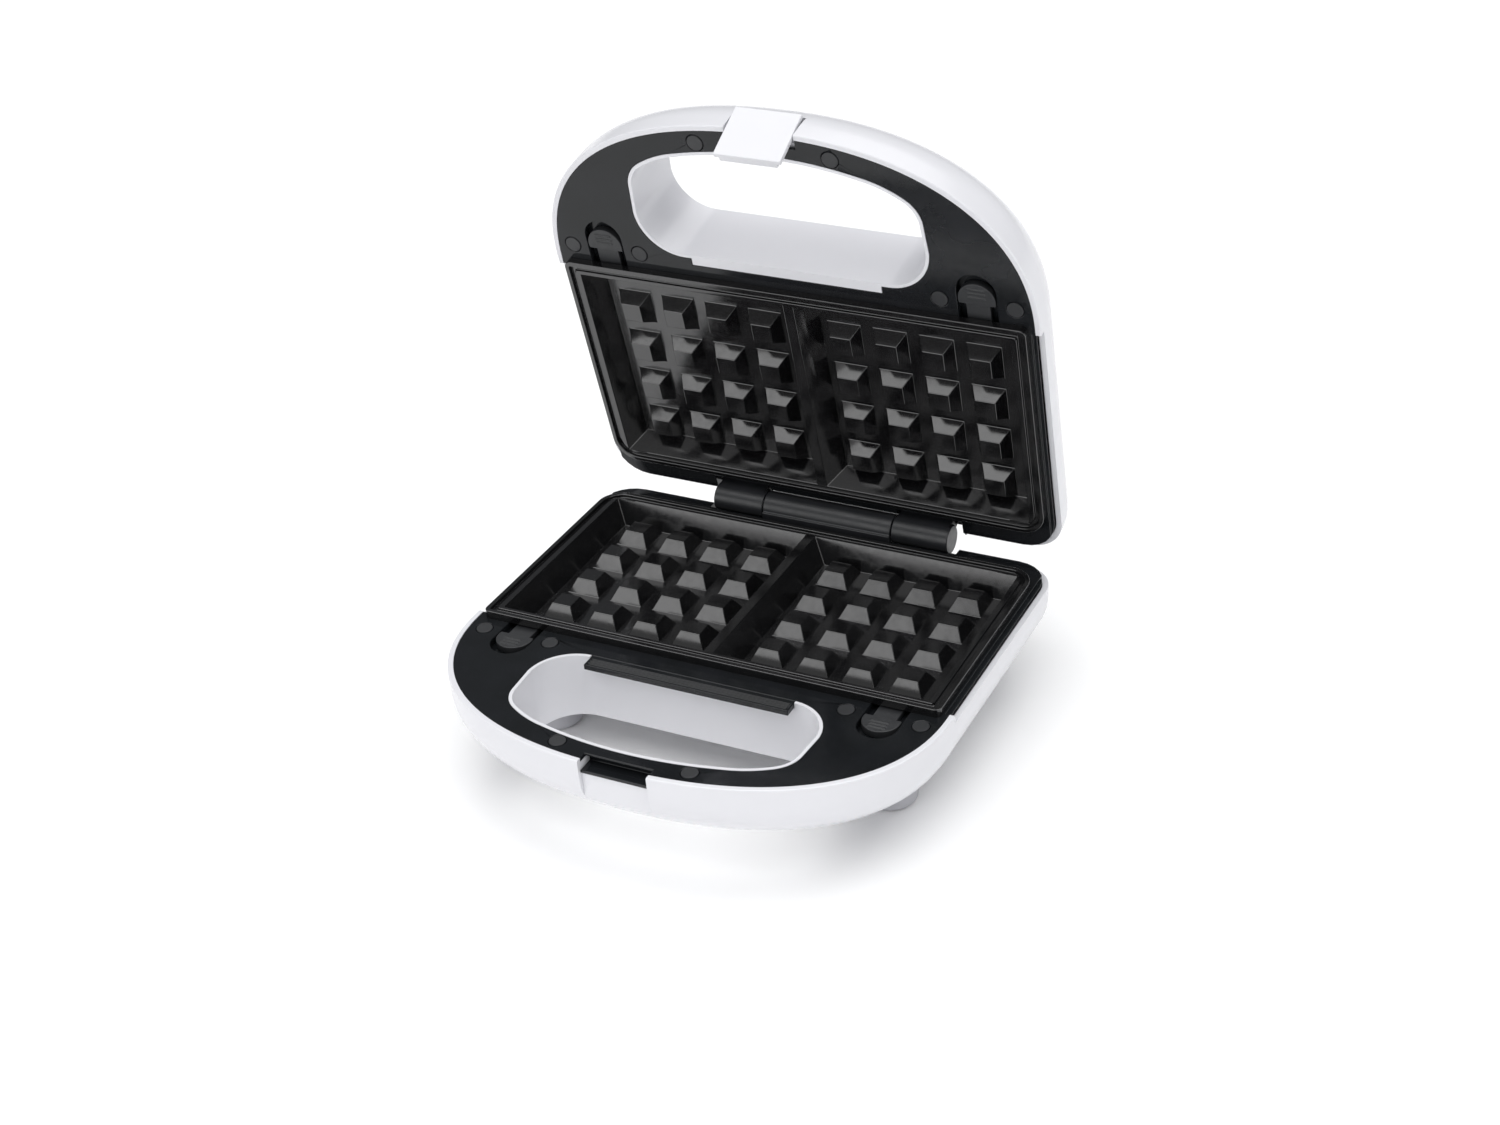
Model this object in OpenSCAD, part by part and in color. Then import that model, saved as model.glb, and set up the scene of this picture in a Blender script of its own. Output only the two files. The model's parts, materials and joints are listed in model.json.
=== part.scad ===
// Two-slice waffle maker, shown open: base, hinged lid, snap-in baking plates.
// Everything on the lid is drawn closed over the base and then turned about the hinge.
// X runs left to right, the handle points to -Y, and the feet stand on z = 0.

/* [Body] */
// Half width of the black decks
half_w = 115.5; // [112:0.5:125]
// Depth of the rounded handle end, from the plates' front edge to the tip
nose_len = 82.7; // [78:0.5:95]
// Back face of both casings
rear_y = 73.5; // [70:0.5:76]
// Height where the two baking plates meet
parting_z = 59; // [55:0.5:70]
// Distance from the parting plane down to each deck
deck_drop = 4.1; // [3:0.1:6]
// Depth of the base casing below its deck
base_depth = 31.8; // [29:0.1:33]
// Depth of the lid casing above its deck
lid_depth = 35; // [33:0.5:40]
// Radius that rounds the bottom edge of the base
base_round = 22; // [18:1:24]
// Radius that rounds the top edge of the lid
lid_round = 27; // [18:1:29]
// Thickness of the casing walls
wall = 2.5; // [2:0.1:3]

/* [Baking plates] */
// Half width of a plate
plate_hw = 112.5; // [111.5:0.5:113]
// Half depth of a plate
plate_hd = 59; // [58:0.5:60]
// Depth of the mould floor below the parting plane
mould_depth = 13; // [11:0.5:14]
// Sideways distance between waffle pockets
pitch_x = 22.4; // [21:0.1:23]
// Front to back distance between waffle pockets
pitch_y = 23.2; // [22:0.1:24]
// Height of the pegs that make the pockets
peg_h = 6.2; // [4:0.1:8]

/* [Lid] */
// How far the lid stands open
open_angle = 77; // [0:1:90]
// Inward lean of the lock latch
latch_lean = 15; // [12:1:16]

/* [Hidden] */
$fn = 48;

gap = 0.3;              // room between parts that move past each other
skin = 0.2;             // each plate stays this far from the parting plane
big = 300;              // longer than the whole machine

// the handle end is a superellipse about this line
nose_y = -55.8;
nose_power = 2.3;
nose_steps = 40;
corner_r = 16;          // rear corners of the casings, seen from above
rim = 2.5;              // white casing edge outside the black deck
side_drop = 3.5;        // the casing edge is lower beside the plates

deck_z = parting_z - deck_drop;
deck_t = 2;
base_bottom = deck_z - base_depth;

// hand hole, from its front arc round to its straight back edge
hole_back = -70.3;
hole_front = -126.8;
hole_rim = 1.5;         // casing edge that shows round the hole
strip_half = 50;        // half length of the ribbed finger strip

// mould pockets
mould_x = 53.4;         // centre of each mould, left and right
mould_y = 5.6;          // centre of the four rows
peg_base_x = 8.1;       // half sizes of a peg at its foot and at its top
peg_top_x = 4.9;
peg_base_y = 8.5;
peg_top_y = 4.6;
floor_t = 2.5;
rim_w = 2.2;            // raised outer edge of a plate
groove_w = 2.4;         // groove between the outer edge and the inner lip
lip_drop = 0.5;
block_hw = 107;         // the part of a plate that drops through the deck
block_front = -55;
block_back = 56;
plate_under = parting_z - mould_depth - floor_t;

// screws, hidden under round caps
screw_spots = [[107.3, -66.7], [72.9, -66.8], [31.4, -130.2]];
cap_r = 3.7;
cap_depth = 0.6;
head_r = 2.9;
head_depth = 1.5;
screw_r = 1.4;
boss_r = 4.4;

// release buttons
button_x = 90.1;
button_y = -68.5;
button_r = 8.6;
button_t = 2.4;
button_travel = 4;
tongue_w = 11;
well_depth = 3.6;

// hinge
hinge_y = 72;
hinge_z = parting_z - 0.3;
barrel_r = 7;
block_left = 31.3;      // ends of the middle barrel, fixed to the base
block_right = 35.8;
barrel_gap = 0.5;
arm_left = 58;          // outer ends of the two barrels fixed to the lid
arm_right = 65;
pin_r = 2.5;
foot_t = 2;             // plates of the hinge that lie under the decks
notch_left = 61;        // cut-out round the barrels, lined by the deck
notch_right = 69;
notch_y = 63.6;
notch_depth = 7.4;
liner_t = 1;

// latch, closed position
latch_hw = 15.5;
latch_t = 2.2;
latch_top = 75.2;
latch_face = -142.5;    // outer face at the latch's top edge
latch_pin_y = -138.2;
latch_pin_z = 69.4;
latch_pin_r = 1;
latch_pin_half = 18.3;
pin_flip = 2 * parting_z - latch_pin_z;
latch_len = 26;
hook_t = 1.7;
hook_reach = 4.2;
lip_hw = 16.2;          // cut-out for the latch in both casings
lip_y = -133.8;         // deck edge that the hook catches
hook_room = 5.3;        // depth of the recess below that edge
scoop_y = -138;         // flat recess in the front of the base, below the latch

// the origin lies under the middle of the open machine's outer box
front_reach = nose_y - nose_len - rim;
lid_top = 2 * parting_z - deck_z + lid_depth;
back_reach = hinge_y + (rear_y - lid_round - hinge_y) * cos(open_angle)
    + (lid_top - lid_round - hinge_z) * sin(open_angle) + lid_round;
origin_y = (front_reach + back_reach) / 2;

foot_x = 85;
foot_front = -51;
foot_back = 58;
foot_r = 12;

reflector_z = 35;
sheet_t = 0.8;
heater_r = 3.2;
heater_z = plate_under - heater_r;

lead_x = -105.4;
lead_z = reflector_z - 2.2;
block_x = 96;           // left end of the terminal block

gland_x = -78;
gland_z = 40;
gland_bore = 3.4;

lamp_x = 11;
lamp_y = -48;
lamp_r = 4;

white = [0.91, 0.91, 0.93];
black = [0.05, 0.05, 0.06];
dark = [0.16, 0.16, 0.17];
coating = [0.07, 0.07, 0.07];
steel = [0.72, 0.73, 0.75];

// ---------------------------------------------------------------- outlines

function arc(cx, cy, r, a0, a1, steps) =
    [for (i = [0 : steps]) let (a = a0 + (a1 - a0) * i / steps) [cx + r * cos(a), cy + r * sin(a)]];

function power(v) = sign(v) * pow(abs(v), 2 / nose_power);

// rounded handle end, grown outwards by d
function nose(d) =
    [for (i = [0 : nose_steps]) let (a = 180 + 180 * i / nose_steps)
        [(half_w + d) * power(cos(a)), nose_y + (nose_len + d) * power(sin(a))]];

// whole casing outline, grown outwards by d, with its back edge at rear
function casing(d, rear) = let (r = max(corner_r + d, 1)) concat(
    nose(d),
    arc(half_w + d - r, rear - r, r, 0, 90, 6),
    arc(r - half_w - d, rear - r, r, 90, 180, 6));

// right half of the hand hole, grown outwards by d: flat front arc, two corners, back corner
function half_hole(d) = concat(
    arc(0, hole_front + 190, 190 + d, 270, 283.7, 4),
    arc(32, hole_front + 58.8, 55 + d, 285, 302, 4),
    arc(54.3, hole_front + 24.4, 14 + d, 305, 360, 5),
    arc(49.5, hole_back - 19.7, 19.7 + d, 2, 90, 8));

function mirrored(p) = [for (i = [len(p) - 1 : -1 : 0]) [-p[i][0], p[i][1]]];

function hole(d) = concat(half_hole(d), mirrored(half_hole(d)));

module slab(points, z0, z1) {
    translate([0, 0, z0]) linear_extrude(z1 - z0) polygon(points);
}

module box(low, high) {
    translate(low) cube(high - low);
}

module both_sides() {
    children();
    mirror([1, 0, 0]) children();
}

module x_rod(r, x0, x1) {
    translate([x0, 0, 0]) rotate([0, 90, 0]) cylinder(r = r, h = x1 - x0);
}

// a trapezoid bar along Y: half width low at z0, high at z1
module bar_y(low, high, y0, y1, z0, z1) {
    translate([0, y1, 0]) rotate([90, 0, 0]) linear_extrude(y1 - y0)
        polygon([[-low, z0], [low, z0], [high, z1], [-high, z1]]);
}

// the same along X, with separate front and back edges
module bar_x(front0, back0, front1, back1, x0, x1, z0, z1) {
    translate([x0, 0, 0]) rotate([90, 0, 90]) linear_extrude(x1 - x0)
        polygon([[front0, z0], [back0, z0], [back1, z1], [front1, z1]]);
}

// ---------------------------------------------------------------- placing

// lid parts are drawn as a base part and turned over the parting plane
module flipped() {
    translate([0, 0, 2 * parting_z]) mirror([0, 0, 1]) children();
}

module on_base() {
    translate([0, -origin_y, 0]) children();
}

module on_lid() {
    on_base() translate([0, hinge_y, hinge_z]) rotate([-open_angle, 0, 0])
        translate([0, -hinge_y, -hinge_z]) children();
}

// ---------------------------------------------------------------- casings

// one thin slice of a casing at angle a of the round, from 0 at its top to 90 at the bottom
module casing_slice(d, bottom, round, a) {
    inset = round * (1 - cos(a));
    z = bottom + round * (1 - sin(a));
    slab(casing(d - inset, rear_y + d - rim - inset), z, z + 0.02);
}

// outside of a casing: straight sides above, a large round below
module casing_form(d, top, bottom, round) {
    step = 15;
    hull() {
        slab(casing(d, rear_y + d - rim), top - 0.02, top);
        casing_slice(d, bottom, round, 0);
    }
    for (a = [0 : step : 90 - step]) hull() {
        casing_slice(d, bottom, round, a);
        casing_slice(d, bottom, round, a + step);
    }
}

module screw_posts(bottom, top) {
    both_sides() for (p = screw_spots)
        translate([p[0], p[1], bottom]) cylinder(r = boss_r, h = top - bottom);
}

module screw_holes(bottom, top, r) {
    both_sides() for (p = screw_spots)
        translate([p[0], p[1], bottom]) cylinder(r = r, h = top - bottom);
}

// cut-out round the hinge barrels, grown by d
module hinge_room(d) {
    box([-notch_left - d, notch_y - d, deck_z - notch_depth - d], [notch_right + d, big, big]);
}

// one casing with its rim level with the deck, and a pocket for the latch at its front
module shell(depth, round, pocket_back, pocket_depth) {
    bottom = deck_z - depth;
    under = deck_z - deck_t;
    difference() {
        union() {
            difference() {
                casing_form(rim, deck_z, bottom, round);
                casing_form(rim - wall, deck_z + 1, bottom + wall, round - wall);
            }
            intersection() {
                casing_form(rim - 1, under, bottom + 0.5, round);
                union() {
                    slab(hole(wall), bottom, under);
                    screw_posts(bottom, under);
                    both_sides() for (y = [-40, 48])
                        translate([70, y, bottom]) cylinder(r = 4, h = reflector_z - bottom);
                    // walls of the latch pocket and of the hinge pocket
                    box([-lip_hw - 3, -big, deck_z - pocket_depth - 2],
                        [lip_hw + 3, pocket_back + 2, under]);
                    intersection() {
                        hinge_room(liner_t + 2);
                        box([-big, 0, 0], [big, big, under]);
                    }
                }
            }
            slab(hole(hole_rim), under - 1, deck_z);
        }
        slab(hole(0), bottom - 1, deck_z + 1);
        screw_holes(under - 14, under + 1, screw_r);
        // lower edge beside the plates
        box([-big, nose_y + 1, deck_z - side_drop], [big, big, big]);
        // room for the hinge barrels and for the latch
        hinge_room(liner_t + 0.05);
        box([-lip_hw, -big, deck_z - pocket_depth], [lip_hw, pocket_back, big]);
    }
}

// slots through the pocket walls for the hinge's plates
module block_slot(low, high) {
    box([-block_left - gap, notch_y - 4, low], [block_right + gap, notch_y + 1, high]);
}

module arm_slots(low, high) {
    box([-arm_left + 1 - gap, notch_y - 4, low], [-block_left - barrel_gap - 1 + gap, notch_y + 1, high]);
    box([block_right + barrel_gap + 1 - gap, notch_y - 4, low], [arm_right - 1 + gap, notch_y + 1, high]);
}

module base_shell() {
    color(white) on_base() difference() {
        union() {
            // the latch hook goes in below the deck lip
            shell(base_depth, base_round, lip_y + 4, hook_room + 1.5);
            // wall behind the flat recess in the front
            intersection() {
                casing_form(rim - 1, deck_z - hook_room - 1.5, base_bottom + 0.5, base_round);
                box([-lip_hw - 3, -big, 0], [lip_hw + 3, scoop_y + 2.5, big]);
            }
        }
        box([-lip_hw, -big, 0], [lip_hw, scoop_y, big]);
        // room for the finger strip
        box([-strip_half - 0.2, hole_back - 8, deck_z - 3], [strip_half + 0.2, hole_back + 1.75, big]);
        block_slot(deck_z - deck_t - foot_t - gap, big);
        translate([gland_x, rear_y + 5, gland_z]) rotate([90, 0, 0]) cylinder(r = 6, h = 15);
    }
}

module lid_shell() {
    color(white) on_lid() flipped() difference() {
        union() {
            difference() {
                shell(lid_depth, lid_round, lip_y - 0.9, 13.8);
                both_sides() translate([lamp_x, lamp_y, deck_z - lid_depth - 1])
                    cylinder(r = lamp_r, h = 5);
                arm_slots(deck_z - deck_t - foot_t - gap, big);
            }
            // white ledge in the deck's notch behind the hand hole
            box([-46, hole_back + 0.5, deck_z - deck_t], [46, hole_back + 5, deck_z]);
        }
        translate([0, latch_pin_y, pin_flip]) x_rod(latch_pin_r, -latch_pin_half, latch_pin_half);
    }
}

module deck_plate() {
    under = deck_z - deck_t;
    well = deck_z - well_depth;
    difference() {
        union() {
            difference() {
                union() {
                    slab(casing(-0.1, rear_y - rim - 0.1), under, deck_z);
                    intersection() {
                        hinge_room(liner_t);
                        box([-big, 0, 0], [big, rear_y - 0.3, under + 0.5]);
                    }
                }
                hinge_room(0);
            }
            both_sides() box([button_x - 12, button_y - 15, well - 1.5],
                             [button_x + 12, block_front - 0.4, under + 0.5]);
        }
        slab(hole(hole_rim + 0.1), 0, big);
        // opening that the plate drops through
        box([-block_hw - 0.4, block_front - 0.4, 0], [block_hw + 0.4, block_back + 0.4, big]);
        // lower edge beside the plates
        both_sides() box([plate_hw + 1, nose_y + 1, under + 0.8], [big, big, big]);
        // wells of the release buttons
        both_sides() {
            translate([button_x, button_y - button_travel, well])
                cylinder(r = button_r + 0.5, h = well_depth + 1);
            box([button_x - button_r - 0.5, button_y - button_travel, well],
                [button_x + button_r + 0.5, block_front + 1, big]);
        }
        screw_holes(0, big, screw_r + 0.4);
        screw_holes(deck_z - head_depth, big, head_r + 0.15);
        screw_holes(deck_z - cap_depth, big, cap_r + 0.35);
        // the latch passes here, and its hook catches the thinner lip
        box([-lip_hw, -big, 0], [lip_hw, lip_y, big]);
        box([-lip_hw, lip_y - 1, under - 1], [lip_hw, lip_y + 3, under + 0.8]);
    }
}

// ribbed finger strip on the back edge of the base's hand hole
module finger_strip() {
    top = deck_z - 0.1;
    difference() {
        bar_x(hole_back - 6.2, hole_back + 1.7, hole_back - 6.2, hole_back + 1.7,
              -strip_half, strip_half, deck_z - 2.8, top);
        for (y = [hole_back - 5, hole_back - 3.4, hole_back - 1.8])
            box([1.5 - strip_half, y, top - 0.5], [strip_half - 1.5, y + 0.8, top + 1]);
    }
}

// lining of the recess that the latch hook drops into
module hook_recess() {
    difference() {
        box([0.05 - lip_hw, scoop_y - 0.8, deck_z - hook_room - 1.45],
            [lip_hw - 0.05, lip_y + 3.95, deck_z - 1.5]);
        box([-lip_hw - 1, -big, deck_z - hook_room], [lip_hw + 1, lip_y + 3, big]);
    }
}

module base_deck() {
    color(black) on_base() {
        difference() {
            deck_plate();
            block_slot(deck_z - deck_t - foot_t - gap, deck_z - deck_t);
        }
        finger_strip();
        hook_recess();
    }
}

module lid_deck() {
    color(black) on_lid() flipped() difference() {
        deck_plate();
        box([-46.2, hole_back - 3, 0], [46.2, hole_back + 5.2, big]);
        box([-lip_hw, -big, 0], [lip_hw, lip_y + 0.4, big]);
        arm_slots(deck_z - deck_t - foot_t - gap, deck_z - deck_t);
    }
}

// ---------------------------------------------------------------- baking plates

// plate outline: nearly square corners at the handle, round ones at the hinge
function plate_outline(inset) = let (x = plate_hw - inset, y = plate_hd - inset,
        rf = max(3 - inset, 0.5), rb = max(12 - inset, 4)) concat(
    arc(rf - x, rf - y, rf, 180, 270, 3), arc(x - rf, rf - y, rf, 270, 360, 3),
    arc(x - rb, y - rb, rb, 0, 90, 8), arc(rb - x, y - rb, rb, 90, 180, 8));

// one mould pocket: its walls slope most at the handle
module pocket() {
    floor_z = parting_z - mould_depth;
    top = parting_z - skin;
    intersection() {
        translate([mould_x, 0, 0]) rotate([90, 0, 0]) translate([0, 0, -big / 2]) linear_extrude(big)
            polygon([[-45, floor_z], [46.6, floor_z], [52, top], [-51.2, top]]);
        bar_x(-43.8, 49.1, -53, 53.2, 0, big, floor_z, top);
    }
}

module pegs() {
    floor_z = parting_z - mould_depth;
    intersection() {
        for (i = [-1.5 : 1.5]) translate([mould_x + i * pitch_x, 0, 0])
            bar_y(peg_base_x, peg_top_x, -60, 60, floor_z, floor_z + peg_h);
        for (j = [-1.5 : 1.5]) translate([0, mould_y + j * pitch_y, 0])
            bar_x(-peg_base_y, peg_base_y, -peg_top_y, peg_top_y, 0, big, floor_z, floor_z + peg_h);
    }
}

module plate() {
    top = parting_z - skin;
    difference() {
        union() {
            slab(plate_outline(0), deck_z, top);
            box([-block_hw, block_front, plate_under], [block_hw, block_back, deck_z]);
        }
        both_sides() pocket();
        // groove between the outer edge and the inner lip
        difference() {
            slab(plate_outline(rim_w), top - 1.6, top + 1);
            slab(plate_outline(rim_w + groove_w), 0, big);
        }
        // the inner lip and the divider are a little lower
        slab(plate_outline(rim_w + groove_w - 0.2), top - lip_drop, top + 1);
        // slots for the button tongues
        both_sides() box([button_x - tongue_w / 2 - 0.4, block_front - 1, deck_z - 3.3],
                         [button_x + tongue_w / 2 + 0.4, block_front + 1.8, deck_z - 0.4]);
    }
    both_sides() pegs();
}

module base_plate() {
    color(coating) on_base() plate();
}

module lid_plate() {
    color(coating) on_lid() flipped() plate();
}

// ---------------------------------------------------------------- heating

module reflector() {
    difference() {
        box([-100, -50, reflector_z], [100, 54, plate_under]);
        box([-100 + sheet_t, -50 + sheet_t, reflector_z + sheet_t], [100 - sheet_t, 54 - sheet_t, big]);
        // ends of the heating tube
        box([-101, -34, heater_z - 4], [-90, -26, big]);
        box([-101, 32, heater_z - 4], [-90, 40, big]);
    }
}

// a tube bent into a U, with a thin cold pin at each end
module heater() {
    translate([0, 0, heater_z]) {
        for (y = [-30, 36]) translate([0, y, 0]) {
            x_rod(heater_r, -94, 55);
            x_rod(1.2, -104, -94);
        }
        translate([55, 3, 0]) rotate([0, 0, -90]) rotate_extrude(angle = 180)
            translate([33, 0]) circle(r = heater_r);
    }
}

module base_reflector() {
    color(steel) on_base() reflector();
}

module lid_reflector() {
    color(steel) on_lid() flipped() reflector();
}

module base_heater() {
    color(dark) on_base() heater();
}

module lid_heater() {
    color(dark) on_lid() flipped() heater();
}

// bimetal disc switch on the lid's reflector
module thermostat() {
    color(steel) on_lid() flipped() translate([30, 0, reflector_z]) mirror([0, 0, 1]) {
        cylinder(r = 8, h = 3);
        box([-3, -14, 0], [3, 14, 1]);
        for (y = [-12, 12]) translate([0, y, 0]) cylinder(r = 2, h = 2.4);
    }
}

// one-shot fuse in a sleeve beside it
module thermal_fuse() {
    color("wheat") on_lid() flipped() translate([-30, 0, lead_z]) {
        x_rod(2.2, -9, 9);
        x_rod(0.6, -16, 16);
    }
}

module terminal_block() {
    color("ivory") on_base() difference() {
        box([-block_x, 20, base_bottom + wall + 0.1], [30 - block_x, 29, reflector_z - 0.5]);
        for (x = [5, 15, 25]) translate([x - block_x, 24.5, base_bottom + 6])
            cylinder(r = 1.8, h = 10);
    }
}

// a lead from a pin of the heating tube, down the side, along it to y1 and in to x1
module lead(y0, y1, x1) {
    lead_r = 1.3;
    translate([lead_x, y0, lead_z]) {
        cylinder(r = lead_r, h = heater_z + lead_r - lead_z);
        sphere(r = lead_r);
    }
    translate([lead_x, max(y0, y1), lead_z]) rotate([90, 0, 0]) cylinder(r = lead_r, h = abs(y1 - y0));
    translate([lead_x, y1, lead_z]) {
        sphere(r = lead_r);
        x_rod(lead_r, 0, x1 - lead_x);
    }
}

module base_wires() {
    color("ivory") on_base() {
        lead(-30, 22.5, -block_x);
        lead(36, 26.5, -block_x);
    }
}

// one lead runs through the fuse to the thermostat, the other to the hinge
module lid_wires() {
    color("ivory") on_lid() flipped() {
        lead(-30, 0, -46);
        translate([0, 0, lead_z]) x_rod(1.3, -14, 21.9);
        lead(36, 57, -70);
    }
}

module lamp_holder() {
    top = deck_z - lid_depth + wall;
    color("ivory") on_lid() flipped() difference() {
        box([-20, lamp_y - 7, top], [20, lamp_y + 7, top + 6]);
        both_sides() translate([lamp_x, lamp_y, top - 1]) cylinder(r = 3, h = 5);
    }
}

// domed lens that stands a little out of the lid
module lens(x) {
    outside = deck_z - lid_depth;
    on_lid() flipped() translate([x, lamp_y, 0]) {
        translate([0, 0, outside]) cylinder(r = lamp_r - 0.05, h = wall);
        translate([0, 0, outside - 0.8]) cylinder(r1 = lamp_r - 0.9, r2 = lamp_r - 0.05, h = 0.8);
    }
}

module power_lens() {
    color([0.8, 0.1, 0.08]) lens(-lamp_x);
}

module ready_lens() {
    color([0.1, 0.65, 0.2]) lens(lamp_x);
}

// ---------------------------------------------------------------- feet, screws, inlet

// the rear feet reach up behind the flat bottom, to the round of the base
module feet() {
    color([0.82, 0.82, 0.84]) on_base() difference() {
        both_sides() for (y = [foot_front, foot_back]) translate([foot_x, y, 0]) {
            cylinder(r1 = foot_r - 2, r2 = foot_r, h = 2);
            translate([0, 0, 2]) cylinder(r1 = foot_r, r2 = foot_r + 1, h = base_bottom + 2);
        }
        box([-big, -big, base_bottom], [big, rear_y - base_round, big]);
        translate([0, rear_y - base_round, base_bottom + base_round]) x_rod(base_round, -big, big);
    }
}

module screws() {
    both_sides() for (p = screw_spots) translate([p[0], p[1], 0]) {
        translate([0, 0, deck_z - deck_t - 12]) cylinder(r = screw_r, h = 12 + deck_t - head_depth);
        translate([0, 0, deck_z - head_depth]) cylinder(r = head_r, h = head_depth - cap_depth - 0.05);
    }
}

module screw_caps() {
    both_sides() for (p = screw_spots)
        translate([p[0], p[1], deck_z - cap_depth]) cylinder(r = cap_r, h = cap_depth + 0.15);
}

module base_screws() {
    color(steel) on_base() screws();
}

module lid_screws() {
    color(steel) on_lid() flipped() screws();
}

module base_screw_caps() {
    color(dark) on_base() screw_caps();
}

module lid_screw_caps() {
    color(dark) on_lid() flipped() screw_caps();
}

module cord_gland() {
    color(dark) on_base() translate([gland_x, rear_y, gland_z]) rotate([90, 0, 0]) difference() {
        union() {
            translate([0, 0, -2]) cylinder(r = 8, h = 2);
            cylinder(r = 5.95, h = 6);
        }
        translate([0, 0, -3]) cylinder(r = gland_bore, h = 10);
    }
}

// ---------------------------------------------------------------- hinge

module at_hinge() {
    translate([0, hinge_y, hinge_z]) children();
}

// middle barrel and the foot that fixes it under the base deck
module hinge_block() {
    color(black) on_base() difference() {
        union() {
            at_hinge() x_rod(barrel_r, -block_left, block_right);
            box([-block_left, 57.5, deck_z - deck_t - foot_t], [block_right, 70, deck_z - deck_t]);
            box([-block_left, 64, deck_z - deck_t - foot_t], [block_right, 72, hinge_z]);
        }
        at_hinge() x_rod(pin_r, -big, big);
    }
}

// outer barrel with a web up to the plate that lies under the lid's deck
module hinge_arm(x0, x1, bore_end) {
    plate_z = 2 * parting_z - deck_z + deck_t;
    on_lid() difference() {
        union() {
            at_hinge() x_rod(barrel_r, x0, x1);
            box([x0 + 1, 57.5, plate_z], [x1 - 1, 72, plate_z + foot_t]);
            box([x0 + 1, 65, hinge_z], [x1 - 1, 72, plate_z + 1]);
        }
        at_hinge() x_rod(pin_r + 0.05, -big, bore_end);
    }
}

module hinge_arm_left() {
    color(black) hinge_arm(-arm_left, -block_left - barrel_gap, big);
}

// closed at its outer end: the pin goes in from the left
module hinge_arm_right() {
    color(black) hinge_arm(block_right + barrel_gap, arm_right, arm_right - 2.5);
}

module hinge_pin() {
    color(steel) on_base() at_hinge() x_rod(pin_r, 1 - arm_left, arm_right - 3);
}

// end of the torsion spring, showing in the joint beside the left barrel
module hinge_spring() {
    color(steel) on_base() at_hinge() translate([-block_left - barrel_gap / 2, 0, 0]) rotate([0, 90, 0])
        rotate_extrude() translate([barrel_r - 1.6, 0]) circle(r = 0.17);
}

// ---------------------------------------------------------------- release buttons

// half-round button with a tongue that locks the plate
module button() {
    low = deck_z - well_depth + gap;
    intersection() {
        translate([button_x, button_y, low]) cylinder(r = button_r, h = button_t + 1);
        box([0, -big, 0], [big, button_y + 2, big]);
    }
    box([button_x - tongue_w / 2, button_y, low],
        [button_x + tongue_w / 2, block_front + 1.4, low + button_t]);
    // grip ribs
    for (y = [-6, -4, -2]) box([button_x - 4, button_y + y, low + button_t],
                               [button_x + 4, button_y + y + 0.8, low + button_t + 1.4]);
}

module base_button_left() {
    color(dark) on_base() mirror([1, 0, 0]) button();
}

module base_button_right() {
    color(dark) on_base() button();
}

module lid_button_left() {
    color(dark) on_lid() flipped() mirror([1, 0, 0]) button();
}

module lid_button_right() {
    color(dark) on_lid() flipped() button();
}

// ---------------------------------------------------------------- lock latch

// local frame of the latch: Y runs inwards through the plate, Z up along it
module at_latch() {
    on_lid() translate([0, latch_face, latch_top]) rotate([latch_lean, 0, 0]) children();
}

module at_latch_pin() {
    on_lid() translate([0, latch_pin_y, latch_pin_z]) children();
}

module latch() {
    color(white) difference() {
        union() {
            at_latch() box([-latch_hw, 0, -latch_len], [latch_hw, latch_t, 0]);
            at_latch() box([-latch_hw + 2, 1, -latch_len], [latch_hw - 2, hook_reach, hook_t - latch_len]);
            at_latch_pin() both_sides() x_rod(2, 5, latch_hw - 0.7);
        }
        at_latch_pin() {
            x_rod(latch_pin_r + 0.05, -20, 20);
            // room for the spring
            x_rod(2.1, -4.6, 4.6);
        }
    }
}

module latch_pin() {
    color(steel) at_latch_pin() x_rod(latch_pin_r, -latch_pin_half, latch_pin_half);
}

// coils round the middle of the pin
module latch_spring() {
    wire_r = 0.3;
    color(steel) at_latch_pin() {
        for (i = [-3 : 3]) translate([i, 0, 0]) rotate([0, 90, 0])
            rotate_extrude($fn = 16) translate([latch_pin_r + wire_r, 0]) circle(r = wire_r, $fn = 16);
        translate([0, latch_pin_r + wire_r, 0]) x_rod(0.2, -3, 3);
    }
}

base_shell();
base_deck();
base_plate();
base_reflector();
base_heater();
terminal_block();
base_wires();
feet();
base_screws();
base_screw_caps();
cord_gland();
hinge_block();
hinge_pin();
hinge_spring();
base_button_left();
base_button_right();
lid_shell();
lid_deck();
lid_plate();
lid_reflector();
lid_heater();
thermostat();
thermal_fuse();
lid_wires();
lamp_holder();
power_lens();
ready_lens();
lid_screws();
lid_screw_caps();
hinge_arm_left();
hinge_arm_right();
lid_button_left();
lid_button_right();
latch();
latch_pin();
latch_spring();
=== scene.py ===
"""Waffle maker, standing open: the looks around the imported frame.

Shapes are drawn in millimetres and turned into metres when they become objects.
"""

import json
import math

import bmesh
import bpy
from mathutils import Matrix, Vector


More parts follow.
